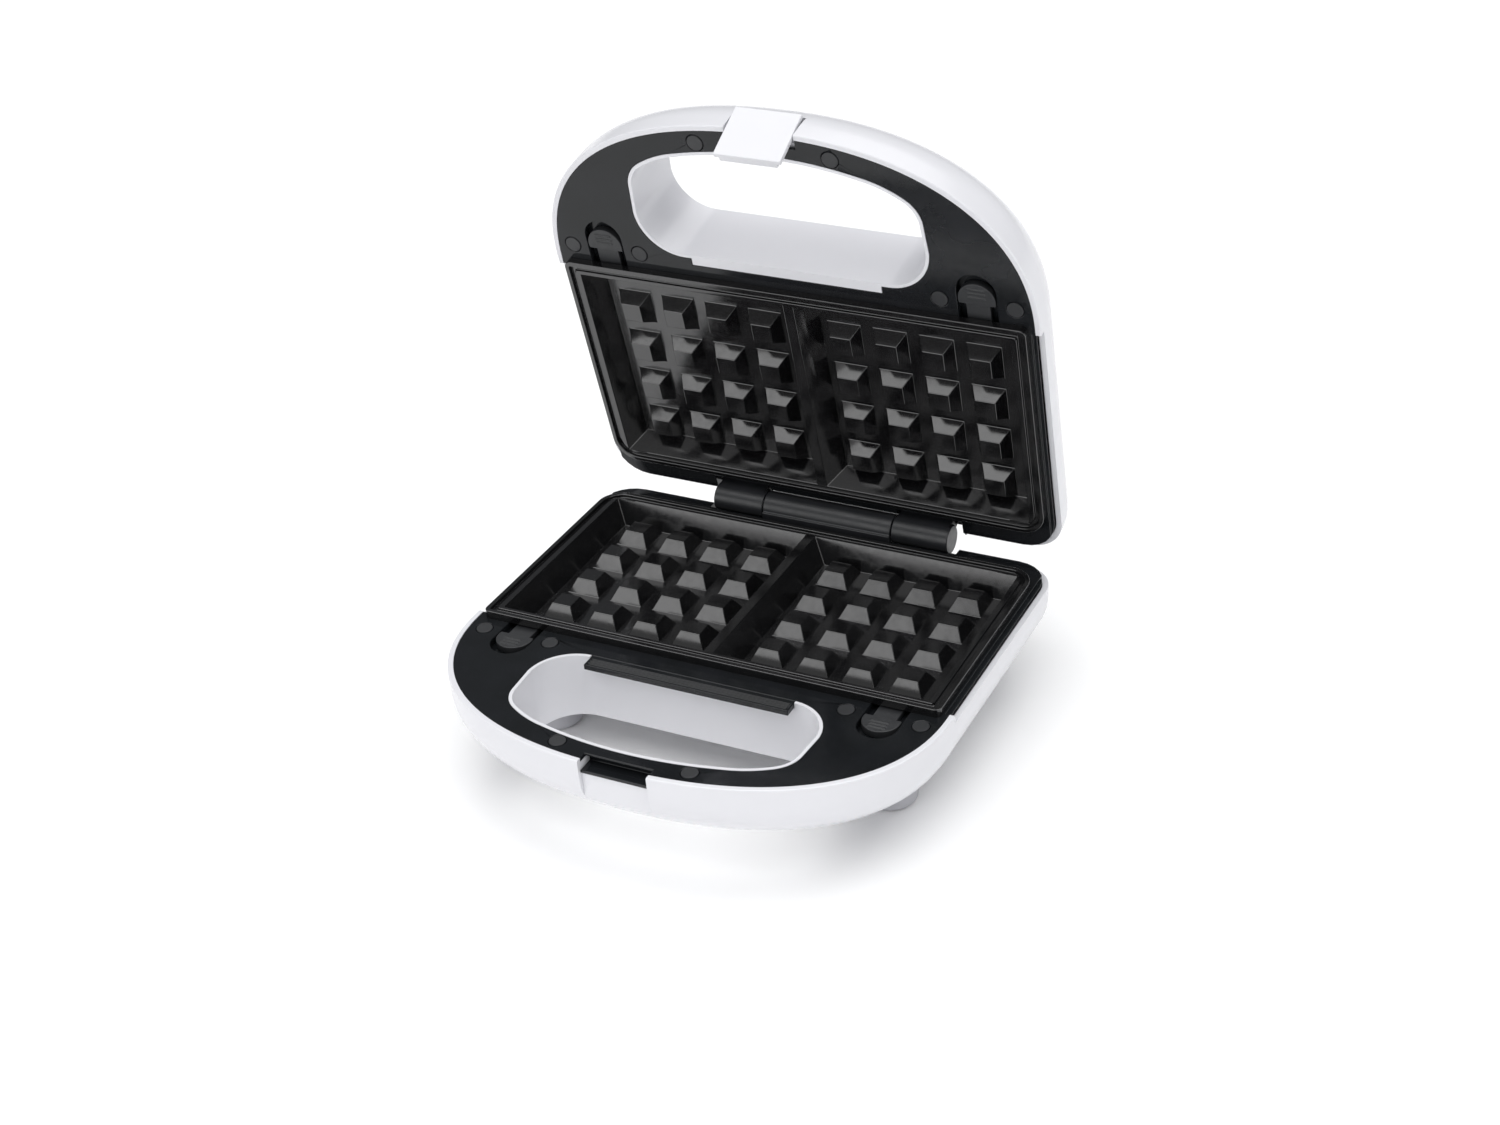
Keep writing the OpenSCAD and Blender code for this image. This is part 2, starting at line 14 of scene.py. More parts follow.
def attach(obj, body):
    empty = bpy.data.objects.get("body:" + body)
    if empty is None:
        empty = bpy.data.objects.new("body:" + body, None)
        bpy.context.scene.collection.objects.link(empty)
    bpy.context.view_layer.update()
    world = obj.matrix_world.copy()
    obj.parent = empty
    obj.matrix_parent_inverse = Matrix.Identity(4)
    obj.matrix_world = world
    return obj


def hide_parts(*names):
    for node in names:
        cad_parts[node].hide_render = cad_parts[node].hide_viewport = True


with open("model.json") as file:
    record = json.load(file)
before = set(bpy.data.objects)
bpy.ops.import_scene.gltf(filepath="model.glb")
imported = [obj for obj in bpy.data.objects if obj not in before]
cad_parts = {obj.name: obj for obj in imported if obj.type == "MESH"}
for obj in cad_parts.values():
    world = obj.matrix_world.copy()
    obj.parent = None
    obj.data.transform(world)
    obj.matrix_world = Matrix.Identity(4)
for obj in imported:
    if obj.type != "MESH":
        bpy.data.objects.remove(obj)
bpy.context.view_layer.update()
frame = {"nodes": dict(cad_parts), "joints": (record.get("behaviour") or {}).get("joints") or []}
nodes = frame["nodes"]

MM = 0.001

# ---------------------------------------------------------------- sizes, from the frame


def box_mm(node, back=None):
    """Lowest and highest corner of a node in mm, after turning it back with a matrix."""
    points = [v.co / MM for v in nodes[node].data.vertices]
    if back is not None:
        points = [back @ p for p in points]
    low = Vector([min(p[i] for p in points) for i in range(3)])
    high = Vector([max(p[i] for p in points) for i in range(3)])
    return low, high


hinge_joint = next(j for j in frame["joints"] if j["name"] == "lid_hinge")
hinge = Vector(hinge_joint["pos_m"]) / MM
open_angle = -math.radians(hinge_joint["range_deg"][0])

plate_low, plate_high = box_mm("base_plate")
shell_low, shell_high = box_mm("base_shell")
skin = 0.2
parting_z = plate_high.z + skin
deck_z = shell_high.z

# a lid part is drawn as a base part, mirrored over the parting plane and turned open
flip = Matrix.Translation((0, 0, 2 * parting_z)) @ Matrix.Scale(-1, 4, (0, 0, 1))
to_lid = (
    Matrix.Translation(hinge)
    @ Matrix.Rotation(-open_angle, 4, "X")
    @ Matrix.Translation(-hinge)
    @ flip
)
lid_low, _ = box_mm("lid_shell", to_lid.inverted())

rim = 2.5  # white casing edge outside the black deck
wall = 2.5
half_w = shell_high.x - rim
rear_y = shell_high.y
nose_y = plate_low.y + 3.2
nose_len = nose_y - rim - shell_low.y
nose_power = 2.3
corner_r = 16
side_drop = 3.5  # the casing edge is lower beside the plates
under_z = deck_z - 2  # underside of the deck
base_bottom = shell_low.z
lid_bottom = lid_low.z
base_round = 22
lid_round = 27
hole_back = nose_y - 14.5
hole_front = nose_y - 71.0
hole_rim = 1.5
strip_half = 50.2  # room for the finger strip
ledge_half = 46  # white ledge behind the lid's hand hole

# latch: cut-out in both casings, recess for the hook, flat recess below it
lip_y = nose_y - 78.0
lip_hw = 16.2
hook_room = 5.3
latch_room = 13.8
scoop_y = nose_y - 82.2

# hinge: the middle barrel is on the base, the outer ones on the lid
block_left, block_right = 31.3, 35.8
barrel_gap = 0.5
arm_left, arm_right = 58, 65
barrel_room = 7.5
notch_left, notch_right = 61, 69
notch_y = hinge.y - 8.4
notch_depth = 7.4
liner_t = 1.05
slot_gap = 0.3

edge = 0.7  # small round along the casings' top edges
far = 400

# ---------------------------------------------------------------- materials


def new_material(name, colour, roughness, metallic=0.0):
    """A material and its node tree, with the even numbers set on the shader's own sockets."""
    material = bpy.data.materials.new(name)
    material.use_nodes = True
    tree = material.node_tree
    shader = tree.nodes["Principled BSDF"]
    shader.inputs["Base Color"].default_value = (*colour, 1)
    shader.inputs["Roughness"].default_value = roughness
    shader.inputs["Metallic"].default_value = metallic
    return material, tree, shader


def noise(tree, scale, detail, stretch=(1, 1, 1)):
    """Noise in the object's own metres: scale is features per metre."""
    place = tree.nodes.new("ShaderNodeTexCoord")
    mapping = tree.nodes.new("ShaderNodeMapping")
    mapping.inputs["Scale"].default_value = stretch
    texture = tree.nodes.new("ShaderNodeTexNoise")
    texture.inputs["Scale"].default_value = scale
    texture.inputs["Detail"].default_value = detail
    tree.links.new(place.outputs["Object"], mapping.inputs["Vector"])
    tree.links.new(mapping.outputs["Vector"], texture.inputs["Vector"])
    return texture.outputs["Fac"]


def spread(tree, value, low, high, frm=0.3, to=0.7):
    """Maps a noise value to low..high."""
    node = tree.nodes.new("ShaderNodeMapRange")
    node.inputs["From Min"].default_value = frm
    node.inputs["From Max"].default_value = to
    node.inputs["To Min"].default_value = low
    node.inputs["To Max"].default_value = high
    tree.links.new(value, node.inputs["Value"])
    return node.outputs["Result"]


def mix_colours(tree, factor, first, second):
    node = tree.nodes.new("ShaderNodeMix")
    node.data_type = "RGBA"
    node.inputs["A"].default_value = (*first, 1)
    node.inputs["B"].default_value = (*second, 1)
    tree.links.new(factor, node.inputs["Factor"])
    return node.outputs["Result"]


def bump(tree, shader, layers):
    """Stacks bumps: each layer is a height and its depth in metres."""
    last = None
    for height, depth in layers:
        node = tree.nodes.new("ShaderNodeBump")
        node.inputs["Strength"].default_value = 1
        node.inputs["Distance"].default_value = depth
        tree.links.new(height, node.inputs["Height"])
        if last is not None:
            tree.links.new(last, node.inputs["Normal"])
        last = node.outputs["Normal"]
    tree.links.new(last, shader.inputs["Normal"])


def moulded(name, colour, other, roughness, grain, grain_depth, wave_depth=0.0, specular=0.5):
    """Moulded plastic: slightly uneven colour and gloss, a fine grain and a long ripple."""
    material, tree, shader = new_material(name, colour, roughness[0])
    shader.inputs["Specular IOR Level"].default_value = specular
    tone = spread(tree, noise(tree, 60, 3), 0, 1)
    tree.links.new(mix_colours(tree, tone, colour, other), shader.inputs["Base Color"])
    gloss = spread(tree, noise(tree, 220, 5), *roughness)
    tree.links.new(gloss, shader.inputs["Roughness"])
    layers = [(noise(tree, grain, 6), grain_depth)]
    if wave_depth:
        layers.append((noise(tree, 35, 1), wave_depth))
    bump(tree, shader, layers)
    return material


def metal(name, colour, other, roughness, stretch, grain=900, depth=1.5e-6):
    """Metal with a drawn or brushed grain and patches of dullness."""
    material, tree, shader = new_material(name, colour, roughness[0], 1.0)
    tone = spread(tree, noise(tree, 140, 4), 0, 1)
    tree.links.new(mix_colours(tree, tone, colour, other), shader.inputs["Base Color"])
    gloss = spread(tree, noise(tree, grain, 4, stretch), *roughness)
    tree.links.new(gloss, shader.inputs["Roughness"])
    bump(tree, shader, [(noise(tree, grain, 4, stretch), depth)])
    return material


def nonstick_coating():
    """Sprayed black nonstick on cast aluminium: glossy, finely speckled, a little wavy."""
    colour = (0.005, 0.005, 0.0055)
    material, tree, shader = new_material("nonstick", colour, 0.14)
    shader.inputs["IOR"].default_value = 1.8
    fleck = spread(tree, noise(tree, 2600, 2), 0, 1, 0.62, 0.72)
    tree.links.new(
        mix_colours(tree, fleck, colour, (0.02, 0.02, 0.021)), shader.inputs["Base Color"]
    )
    gloss = spread(tree, noise(tree, 300, 5), 0.11, 0.18)
    tree.links.new(gloss, shader.inputs["Roughness"])
    bump(tree, shader, [(noise(tree, 1500, 4), 1.5e-6), (noise(tree, 120, 2), 1.5e-5)])
    return material


white_plastic = moulded(
    "white_plastic", (0.72, 0.72, 0.75), (0.71, 0.71, 0.74), (0.21, 0.25), 2600, 2e-7, 3e-6
)
deck_plastic = moulded(
    "deck_plastic",
    (0.008, 0.009, 0.010),
    (0.011, 0.012, 0.014),
    (0.1, 0.15),
    1800,
    2e-7,
    6e-6,
    0.32,
)
satin_black = moulded(
    "satin_black", (0.014, 0.015, 0.017), (0.02, 0.021, 0.024), (0.3, 0.42), 3200, 8e-6
)
dark_grey = moulded(
    "dark_grey", (0.017, 0.018, 0.02), (0.024, 0.025, 0.027), (0.38, 0.52), 2800, 8e-6
)
foot_rubber = moulded(
    "foot_rubber", (0.50, 0.50, 0.53), (0.44, 0.44, 0.47), (0.5, 0.65), 2400, 1.2e-5
)
ivory = moulded("ivory", (0.78, 0.72, 0.56), (0.72, 0.66, 0.5), (0.35, 0.5), 1500, 4e-6)
sleeve = moulded("sleeve", (0.74, 0.7, 0.58), (0.6, 0.56, 0.45), (0.7, 0.9), 3000, 4e-5)
red_lens = moulded("red_lens", (0.5, 0.012, 0.01), (0.38, 0.01, 0.008), (0.06, 0.12), 900, 1e-6)
green_lens = moulded(
    "green_lens", (0.02, 0.3, 0.07), (0.015, 0.24, 0.05), (0.06, 0.12), 900, 1e-6
)
nonstick = nonstick_coating()
zinc = metal("zinc", (0.68, 0.72, 0.76), (0.55, 0.6, 0.66), (0.22, 0.4), (1, 9, 9))
sheet_steel = metal(
    "sheet_steel", (0.62, 0.62, 0.63), (0.52, 0.52, 0.53), (0.28, 0.45), (1, 14, 14)
)
heater_oxide = metal(
    "heater_oxide", (0.1, 0.095, 0.09), (0.2, 0.16, 0.13), (0.45, 0.65), (9, 1, 1)
)

# ---------------------------------------------------------------- outlines and solids


def arc(cx, cy, r, start, end, steps):
    turns = [math.radians(start + (end - start) * i / steps) for i in range(steps + 1)]
    return [(cx + r * math.cos(a), cy + r * math.sin(a)) for a in turns]


def power(value):
    """Superellipse coordinate from a sine or cosine, keeping its sign."""
    return math.copysign(abs(value) ** (2 / nose_power), value)


def casing(grow, rear, steps=144):
    """Casing outline from above: superellipse handle end, straight sides, round rear corners."""
    r = max(corner_r + grow * 0.6, 3)
    turns = [math.pi * (1 + i / steps) for i in range(steps + 1)]
    x, y = half_w + grow, nose_len + grow
    nose = [(x * power(math.cos(a)), nose_y + y * power(math.sin(a))) for a in turns]
    return nose + arc(x - r, rear - r, r, 0, 90, 16) + arc(r - x, rear - r, r, 90, 180, 16)


def hand_hole(grow):
    """Hand hole outline: flat front arc, two corners, straight back edge."""
    right = (
        arc(0, hole_front + 190, 190 + grow, 270, 283.7, 8)
        + arc(32, hole_front + 58.8, 55 + grow, 285, 302, 8)
        + arc(54.3, hole_front + 24.4, 14 + grow, 305, 360, 12)
        + arc(49.5, hole_back - 19.7, 19.7 + grow, 2, 90, 16)
    )
    return right + [(-x, y) for x, y in reversed(right)][:-1]


def loft(rings):
    """Closed solid through rings of (outline, z), with flat ends."""
    mesh = bmesh.new()
    loops = [[mesh.verts.new((x, y, z)) for x, y in outline] for outline, z in rings]
    count = len(loops[0])
    for low, high in zip(loops, loops[1:]):
        for i in range(count):
            j = (i + 1) % count
            mesh.faces.new((low[i], low[j], high[j], high[i]))
    mesh.faces.new(loops[0][::-1])
    mesh.faces.new(loops[-1])
    bmesh.ops.recalc_face_normals(mesh, faces=mesh.faces)
    return mesh


def prism(outline, z0, z1):
    return loft([(outline, z0), (outline, z1)])


def block(low, high):
    (x0, y0, z0), (x1, y1, z1) = low, high
    return prism([(x0, y0), (x1, y0), (x1, y1), (x0, y1)], z0, z1)


def as_object(name, mesh, transform=None):
    """Makes a Blender object from a bmesh in mm, and frees the bmesh."""
    if transform is not None:
        mesh.transform(transform)
        if transform.determinant() < 0:
            bmesh.ops.reverse_faces(mesh, faces=mesh.faces)
    mesh.transform(Matrix.Scale(MM, 4))
    data = bpy.data.meshes.new(name)
    mesh.to_mesh(data)
    mesh.free()
    thing = bpy.data.objects.new(name, data)
    bpy.context.scene.collection.objects.link(thing)
    return thing


def combine(mesh, steps):
    """Joins or cuts solids in turn: steps are (operation, bmesh). Returns a bmesh in mm."""
    body = as_object("work", mesh)
    cutters = []
    for operation, solid in steps:
        cutter = as_object("cutter", solid)
        modifier = body.modifiers.new("boolean", "BOOLEAN")
        modifier.operation = operation
        modifier.solver = "EXACT"
        modifier.object = cutter
        cutters.append(cutter)
    depsgraph = bpy.context.evaluated_depsgraph_get()
    result = bmesh.new()
    result.from_mesh(body.evaluated_get(depsgraph).to_mesh())
    for thing in [body, *cutters]:
        data = thing.data
        bpy.data.objects.remove(thing)
        bpy.data.meshes.remove(data)
    bmesh.ops.remove_doubles(result, verts=result.verts, dist=0.02 * MM)
    result.transform(Matrix.Scale(1 / MM, 4))
    return result


def smooth(thing):
    """Smooth shading that keeps the sharper edges."""
    for face in thing.data.polygons:
        face.use_smooth = True
    thing.data.set_sharp_from_angle(angle=math.radians(35))
    modifier = thing.modifiers.new("normals", "WEIGHTED_NORMAL")
    modifier.keep_sharp = True


def dress(thing, body, slot, material, *replaced):
    """Gives a piece its material and its body, and hides the CAD nodes it stands for; the slot is
    not used.
    """
    thing.data.materials.clear()
    thing.data.materials.append(material)
    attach(thing, body)
    if replaced:
        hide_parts(*replaced)
    return thing


# ---------------------------------------------------------------- casings


def casing_rings(grow, top, bottom, radius, fillet):
    """Rings from the top edge down the side and round to the bottom."""
    rings = []
    for degrees in (90, 60, 30, 0):
        turn = math.radians(degrees)
        inset = fillet * (1 - math.cos(turn))
        rings.append((grow - inset, top - fillet * (1 - math.sin(turn))))
    for degrees in range(0, 91, 6):
        turn = math.radians(degrees)
        inset = radius * (1 - math.cos(turn))
        rings.append((grow - inset, bottom + radius * (1 - math.sin(turn))))
    return [(casing(d, rear_y + d - rim), z) for d, z in rings]


def hinge_room(d, top=far):
    """Cut-out round the hinge barrels, grown by d."""
    low = (-notch_left - d, notch_y - d, deck_z - notch_depth - d)
    return block(low, (notch_right + d, far, top))


def latch_pocket(d, back, depth, top=far):
    """Cut-out for the latch, grown by d."""
    return block((-lip_hw - d[0], -far, deck_z - depth - d[1]), (lip_hw + d[0], back + d[1], top))


def casing_shell(bottom, radius, pocket_back, pocket_depth, slots, extra=()):
    """One white casing, drawn as the base's: tub, hand hole tube, pockets for hinge and latch.

    Slots are the x ranges of the hinge's plates, and extra steps come last.
    """
    outer = loft(casing_rings(rim, deck_z, bottom, radius, edge))
    clip = loft(casing_rings(rim - 1, under_z, bottom + 0.5, radius, 0.1))
    inner = loft(casing_rings(rim - wall, deck_z + 2, bottom + wall, radius - wall, 0.1))
    inside = combine(
        prism(hand_hole(wall), bottom, under_z),
        [
            ("UNION", latch_pocket((3, 2), pocket_back, pocket_depth, under_z)),
            ("UNION", hinge_room(liner_t + 2, under_z)),
            ("INTERSECT", clip),
        ],
    )
    steps = [
        ("DIFFERENCE", inner),
        ("UNION", inside),
        ("UNION", prism(hand_hole(hole_rim), under_z - 1, deck_z)),
        ("DIFFERENCE", prism(hand_hole(0), bottom - 5, deck_z + 5)),
        ("DIFFERENCE", block((-far, nose_y + 1, deck_z - side_drop), (far, far, far))),
        ("DIFFERENCE", hinge_room(liner_t)),
        ("DIFFERENCE", latch_pocket((0, 0), pocket_back, pocket_depth)),
    ]
    for x0, x1 in slots:
        slot = block((x0, notch_y - 4, under_z - 2 - slot_gap), (x1, notch_y + 1, far))
        steps.append(("DIFFERENCE", slot))
    return combine(outer, steps + list(extra))


scoop_top = deck_z - hook_room - 1.5
scoop_clip = casing_rings(rim - 1, scoop_top, base_bottom + 0.5, base_round, 0.1)
scoop_wall = combine(
    block((-lip_hw - 3, -far, base_bottom), (lip_hw + 3, scoop_y + 2.5, scoop_top)),
    [("INTERSECT", loft(scoop_clip))],
)
strip_low = (-strip_half, hole_back - 8, deck_z - 3)
base_extra = [
    ("UNION", scoop_wall),
    ("DIFFERENCE", block((-lip_hw, -far, 0), (lip_hw, scoop_y, far))),
    ("DIFFERENCE", block(strip_low, (strip_half, hole_back + 1.75, far))),
]
base_slots = [(-block_left - slot_gap, block_right + slot_gap)]
base_mesh = casing_shell(
    base_bottom, base_round, lip_y + 4, hook_room + 1.5, base_slots, base_extra
)
base_casing = as_object("base_casing", base_mesh)
smooth(base_casing)
dress(base_casing, "base", "white_shell", white_plastic, "base_shell")

arm_end = barrel_gap + 1 - slot_gap  # from the middle barrel to a lid slot
lid_slots = [
    (-arm_left + 1 - slot_gap, -block_left - arm_end),
    (block_right + arm_end, arm_right - 1 + slot_gap),
]
lid_mesh = casing_shell(lid_bottom, lid_round, lip_y - 0.9, latch_room, lid_slots)
ledge = block((-ledge_half, hole_back + 0.5, under_z), (ledge_half, hole_back + 5, deck_z))
lid_casing = as_object("lid_casing", combine(lid_mesh, [("UNION", ledge)]), to_lid)
smooth(lid_casing)
dress(lid_casing, "lid", "white_shell", white_plastic, "lid_shell")

# ---------------------------------------------------------------- baking plates

plate_hw = plate_high.x
plate_mid_y = (plate_low.y + plate_high.y) / 2
plate_hd = plate_high.y - plate_mid_y
floor_z = parting_z - 13
floor_t = 2.5
drop_hw, drop_front, drop_back = 107, 55, 56  # the part that drops through the deck
mould_x = 53.4  # centre of each mould's pegs
mould_y = plate_mid_y + 5.6
mould_sides = (45, 46.6)  # mould floor, towards the divider and outwards
mould_ends = (43.8, 49.1)  # towards the handle and the hinge
slope_sides = (6.2, 5.4)  # how far each wall leans out on its way up
slope_ends = (9.2, 4.1)
pitch_x, pitch_y = 22.4, 23.2
peg_base = (8.1, 8.5)
peg_top = (4.9, 4.6)
peg_h = 6.2
rim_top = parting_z - skin
lip_top = rim_top - 0.5
rim_w = 2.2
groove_w = 2.4
groove_depth = 1.6
plate_edge = 0.3


def plate_outline(inset):
    """Plate outline: nearly square corners at the handle, round ones at the hinge."""
    x, y = plate_hw - inset, plate_hd - inset
    front, back = max(3 - inset, 0.8), max(12 - inset, 4)
    points = (
        arc(front - x, front - y, front, 180, 270, 6)
        + arc(x - front, front - y, front, 270, 360, 6)
        + arc(x - back, y - back, back, 0, 90, 12)
        + arc(back - x, y - back, back, 90, 180, 12)
    )
    return [(px, py + plate_mid_y) for px, py in points]


def rectangle(x0, y0, x1, y1):
    return [(x0, y0), (x1, y0), (x1, y1), (x0, y1)]


def add_loop(mesh, points, z):
    """New vertices along an outline at height z."""
    return [mesh.verts.new((x, y, z)) for x, y in points]


def join_loops(mesh, first, second):
    """Side faces between two loops of the same length."""
    count = len(first)
    for i in range(count):
        j = (i + 1) % count
        mesh.faces.new((first[i], first[j], second[j], second[i]))


def fill_between(mesh, *loops):
    """Flat face with holes, between an outer loop and the loops inside it."""
    sides = []
    for loop in loops:
        for a, b in zip(loop, loop[1:] + loop[:1]):
            sides.append(mesh.edges.get((a, b)) or mesh.edges.new((a, b)))
    bmesh.ops.triangle_fill(mesh, use_beauty=True, edges=sides)


def cell_lines(low, high, centre, pitch, half):
    """Grid lines across a mould: its ends and the two sides of each peg."""
    lines = [low]
    for i in (-1.5, -0.5, 0.5, 1.5):
        lines += [centre + i * pitch - half, centre + i * pitch + half]
    return lines + [high]


def add_mould(mesh, mirror):
    """One pocket with its pegs. Returns the loop round its top edge."""
    x0, x1 = mould_x - mould_sides[0], mould_x + mould_sides[1]
    y0, y1 = plate_mid_y - mould_ends[0], plate_mid_y + mould_ends[1]
    xs = cell_lines(x0, x1, mould_x, pitch_x, peg_base[0])
    ys = cell_lines(y0, y1, mould_y, pitch_y, peg_base[1])
    floor_points = [[mesh.verts.new((mirror * x, y, floor_z)) for y in ys] for x in xs]
    last = len(xs) - 1
    for i in range(last):
        for j in range(last):
            around = [(i, j), (i + 1, j), (i + 1, j + 1), (i, j + 1)]
            corners = [floor_points[a][b] for a, b in around]
            if i % 2 == 0 or j % 2 == 0:
                mesh.faces.new(corners)
                continue
            cx = mirror * (xs[i] + xs[i + 1]) / 2
            cy = (ys[j] + ys[j + 1]) / 2
            x, y = mirror * peg_top[0], peg_top[1]
            top = add_loop(mesh, rectangle(cx - x, cy - y, cx + x, cy + y), floor_z + peg_h)
            join_loops(mesh, corners, top)
            mesh.faces.new(top)
    path = (
        [(i, 0) for i in range(last)]
        + [(last, j) for j in range(last)]
        + [(i, last) for i in range(last, 0, -1)]
        + [(0, j) for j in range(last, 0, -1)]
    )
    rise = (lip_top - floor_z) / (rim_top - floor_z)
    top_x = [x0 - slope_sides[0] * rise] + xs[1:-1] + [x1 + slope_sides[1] * rise]
    top_y = [y0 - slope_ends[0] * rise] + ys[1:-1] + [y1 + slope_ends[1] * rise]
    low_loop = [floor_points[i][j] for i, j in path]
    high_loop = add_loop(mesh, [(mirror * top_x[i], top_y[j]) for i, j in path], lip_top)
    join_loops(mesh, low_loop, high_loop)
    return high_loop


def plate_mesh():
    """Baking plate: raised edge, groove, inner lip, two moulds and the block below the deck."""
    mesh = bmesh.new()
    outer_low = add_loop(mesh, plate_outline(0), deck_z)
    outer_top = add_loop(mesh, plate_outline(0), rim_top)
    rim_in = add_loop(mesh, plate_outline(rim_w), rim_top)
    groove_out = add_loop(mesh, plate_outline(rim_w + 0.2), rim_top - groove_depth)
    groove_in = add_loop(mesh, plate_outline(rim_w + groove_w - 0.2), rim_top - groove_depth)
    lip_out = add_loop(mesh, plate_outline(rim_w + groove_w), lip_top)
    rings = [outer_low, outer_top, rim_in, groove_out, groove_in, lip_out]
    for first, second in zip(rings, rings[1:]):
        join_loops(mesh, first, second)
    fill_between(mesh, lip_out, add_mould(mesh, 1), add_mould(mesh, -1))
    inner = rectangle(-drop_hw, plate_mid_y - drop_front, drop_hw, plate_mid_y + drop_back)
    block_top = add_loop(mesh, inner, deck_z)
    block_low = add_loop(mesh, inner, floor_z - floor_t)
    fill_between(mesh, outer_low, block_top)
    join_loops(mesh, block_top, block_low)
    mesh.faces.new(block_low)
    bmesh.ops.recalc_face_normals(mesh, faces=mesh.faces)
    return mesh


def round_edges(thing, width, segments=3):
    """Rounds every sharp edge by width mm, and shades flat faces flat."""
    modifier = thing.modifiers.new("edges", "BEVEL")
    modifier.width = width * MM
    modifier.segments = segments
    modifier.limit_method = "ANGLE"
    modifier.angle_limit = math.radians(28)
    modifier.use_clamp_overlap = False
    for face in thing.data.polygons:
        face.use_smooth = True
    normals = thing.modifiers.new("normals", "WEIGHTED_NORMAL")
    normals.keep_sharp = True


base_plate = as_object("base_baking_plate", plate_mesh())
round_edges(base_plate, plate_edge)
dress(base_plate, "base", "nonstick", nonstick, "base_plate")
lid_plate = as_object("lid_baking_plate", plate_mesh(), to_lid)
round_edges(lid_plate, plate_edge)
dress(lid_plate, "lid", "nonstick", nonstick, "lid_plate")

# ---------------------------------------------------------------- parts with rounded edges


def join_flat_faces(mesh):
    """Joins each flat patch of triangles into one face, unless the patch has a hole in it."""
    flat = math.radians(0.4)
    seen, patches = set(), []
    for start in mesh.faces:
        if start in seen:
            continue
        seen.add(start)
        patch, queue = [], [start]
        while queue:
            face = queue.pop()
            patch.append(face)
            for side in face.edges:
                for other in side.link_faces:
                    if other not in seen and other.normal.angle(start.normal, 9) < flat:
                        seen.add(other)
                        queue.append(other)
        corners = {v for f in patch for v in f.verts}
        sides = {e for f in patch for e in f.edges}
        if len(patch) > 1 and len(corners) - len(sides) + len(patch) == 1:
            patches.append(patch)
    for patch in patches:
        bmesh.ops.dissolve_faces(mesh, faces=patch)


def rounded(node, body, slot, material, width, segments=3):
    """A CAD node again, with its flat faces joined up and its edges rounded by width mm."""
    mesh = bmesh.new()
    mesh.from_mesh(nodes[node].data)
    bmesh.ops.remove_doubles(mesh, verts=mesh.verts, dist=0.005 * MM)
    mesh.normal_update()
    join_flat_faces(mesh)
    data = bpy.data.meshes.new(node + "_finished")
    mesh.to_mesh(data)
    mesh.free()
    thing = bpy.data.objects.new(node + "_finished", data)
    bpy.context.scene.collection.objects.link(thing)
    round_edges(thing, width, segments)
    return dress(thing, body, slot, material, node)


rounded("base_deck", "base", "black_deck", deck_plastic, 0.35)
rounded("lid_deck", "lid", "black_deck", deck_plastic, 0.35)
rounded("latch", "latch", "white_shell", white_plastic, 0.35)
rounded("feet", "base", "foot_grey", foot_rubber, 0.7, 4)
rounded("hinge_block", "base", "hinge_black", satin_black, 0.5)
for side in ("left", "right"):
    rounded(f"hinge_arm_{side}", "lid", "hinge_black", satin_black, 0.5)
    rounded(f"base_button_{side}", f"base_release_{side}", "dark_trim", dark_grey, 0.3)
    rounded(f"lid_button_{side}", f"lid_release_{side}", "dark_trim", dark_grey, 0.3)
rounded("base_screw_caps", "base", "dark_trim", dark_grey, 0.25)
rounded("lid_screw_caps", "lid", "dark_trim", dark_grey, 0.25)
rounded("cord_gland", "base", "dark_trim", dark_grey, 0.4)

# ---------------------------------------------------------------- infills round the hinge


def hinge_infill(name, body, spans, axis_z, transform=None):
    """Black infill between a deck and the other half's barrels, hollowed to clear them."""
    barrel = [(hinge.y + y, axis_z + z) for y, z in arc(0, 0, barrel_room, 0, 352.5, 47)]
    tunnel = loft([(barrel, -far), (barrel, far)])
    tunnel.transform(Matrix(((0, 0, 1, 0), (1, 0, 0, 0), (0, 1, 0, 0), (0, 0, 0, 1))))
    low = (notch_y - 0.2, deck_z - notch_depth - 0.2)
    first, *others = [block((x0, *low), (x1, hinge.y, deck_z)) for x0, x1 in spans]
    steps = [("UNION", other) for other in others] + [("DIFFERENCE", tunnel)]
    thing = as_object(name, combine(first, steps), transform)
    smooth(thing)
    dress(thing, body, "black_deck", deck_plastic)


base_spans = [(0.1 - notch_left, -block_left - 0.4), (block_right + 0.4, notch_right - 0.1)]
hinge_infill("base_hinge_infill", "base", base_spans, hinge.z)
lid_spans = [(0.1 - block_left, block_right - 0.1)]
hinge_infill("lid_hinge_infill", "lid", lid_spans, 2 * parting_z - hinge.z, to_lid)

# ---------------------------------------------------------------- CAD nodes that keep their shape

FINISHES = {
    "base_reflector": sheet_steel,
    "lid_reflector": sheet_steel,
    "thermostat": sheet_steel,
    "base_heater": heater_oxide,
    "lid_heater": heater_oxide,
    "terminal_block": ivory,
    "lamp_holder": ivory,
    "base_wires": sleeve,
    "lid_wires": sleeve,
    "thermal_fuse": sleeve,
    "power_lens": red_lens,
    "ready_lens": green_lens,
    "hinge_pin": zinc,
    "hinge_spring": zinc,
    "latch_pin": zinc,
    "latch_spring": zinc,
    "base_screws": zinc,
    "lid_screws": zinc,
}
for node, material in FINISHES.items():
    nodes[node].data.materials.clear()
    nodes[node].data.materials.append(material)

# ---------------------------------------------------------------- floor, light, camera

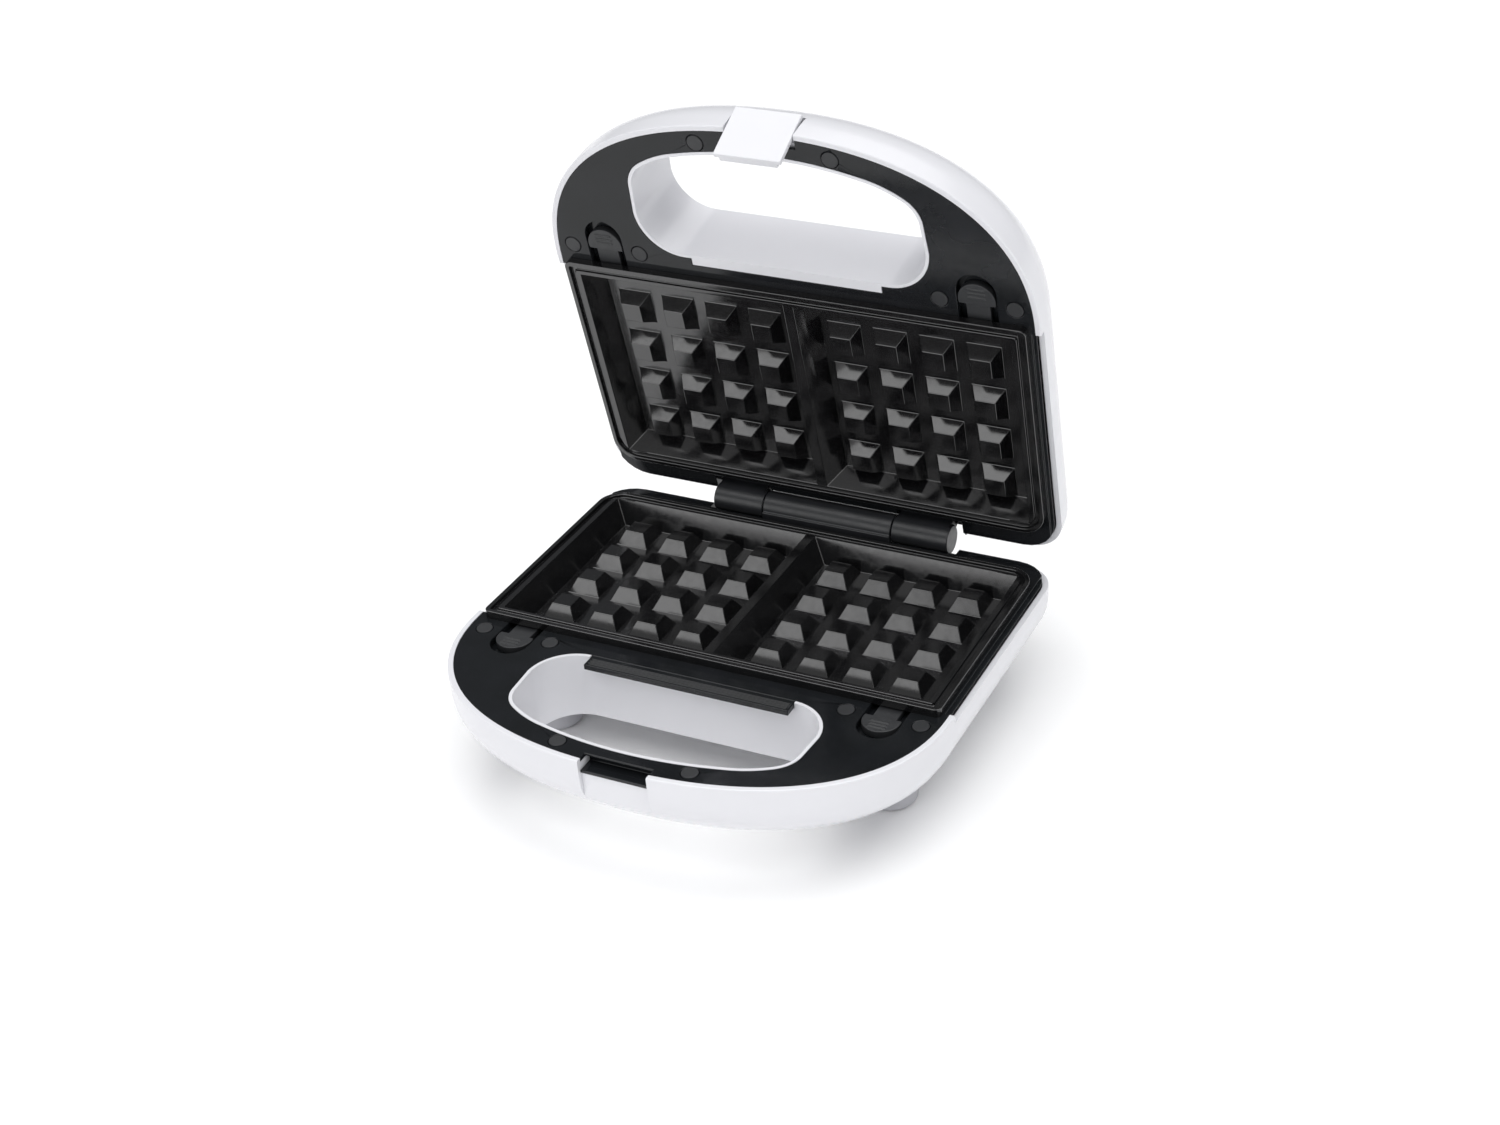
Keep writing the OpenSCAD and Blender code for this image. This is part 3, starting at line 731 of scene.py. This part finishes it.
floor_mesh = bmesh.new()
bmesh.ops.create_grid(floor_mesh, x_segments=1, y_segments=1, size=12)
floor_data = bpy.data.meshes.new("floor")
floor_mesh.to_mesh(floor_data)
floor_mesh.free()
floor = bpy.data.objects.new("floor", floor_data)
bpy.context.scene.collection.objects.link(floor)
floor_paint, floor_tree, floor_shader = new_material("floor_paint", (0.97, 0.97, 0.97), 0.8)
floor_tone = spread(floor_tree, noise(floor_tree, 2, 2), 0, 1)
floor_colour = mix_colours(floor_tree, floor_tone, (0.97, 0.97, 0.97), (0.96, 0.96, 0.96))
floor_tree.links.new(floor_colour, floor_shader.inputs["Base Color"])
floor_data.materials.append(floor_paint)

world = bpy.data.worlds.new("studio")
world.use_nodes = True
world.node_tree.nodes["Background"].inputs["Color"].default_value = (0.93, 0.96, 1, 1)
world.node_tree.nodes["Background"].inputs["Strength"].default_value = 0.16
bpy.context.scene.world = world
bpy.context.scene.view_settings.view_transform = "Standard"


def area_light(name, place, target, size, watts):
    """Rectangular soft light at a place, turned to a target."""
    light = bpy.data.lights.new(name, "AREA")
    light.shape = "RECTANGLE"
    light.size, light.size_y = size
    light.energy = watts
    thing = bpy.data.objects.new(name, light)
    thing.location = place
    thing.rotation_euler = (Vector(target) - Vector(place)).to_track_quat("-Z", "Y").to_euler()
    bpy.context.scene.collection.objects.link(thing)


# a wide even light from straight above, and two cards whose reflections show in the pegs
overhead = bpy.data.lights.new("overhead", "SUN")
overhead.energy = 3.05
overhead.angle = math.radians(86)
bpy.context.scene.collection.objects.link(bpy.data.objects.new("overhead", overhead))
area_light("front_card", (-0.62, -1.6, 0.52), (0, 0, 0.1), (1.5, 0.95), 9)
area_light("right_card", (1.5, -0.4, 0.6), (0, 0, 0.1), (1, 1), 5)

camera_place = (0.40666, -0.72324, 0.5881)
yaw, pitch, roll = (math.radians(a) for a in (-25.52, 34.648, -2.797))
camera_data = bpy.data.cameras.new("camera")
camera = bpy.data.objects.new("camera", camera_data)
bpy.context.scene.collection.objects.link(camera)
forward = Vector(
    (math.sin(yaw) * math.cos(pitch), math.cos(yaw) * math.cos(pitch), -math.sin(pitch))
)
level_right = Vector((math.cos(yaw), -math.sin(yaw), 0))
level_up = level_right.cross(forward)
right = level_right * math.cos(roll) + level_up * math.sin(roll)
up = level_up * math.cos(roll) - level_right * math.sin(roll)
turn = Matrix((right, up, -forward)).transposed()
camera.matrix_world = Matrix.Translation(camera_place) @ turn.to_4x4()
camera_data.sensor_width = 36
camera_data.lens = 52.1928
camera_data.shift_x = -0.08
camera_data.shift_y = 0.08
camera_data.clip_start = 0.01
bpy.context.scene.camera = camera
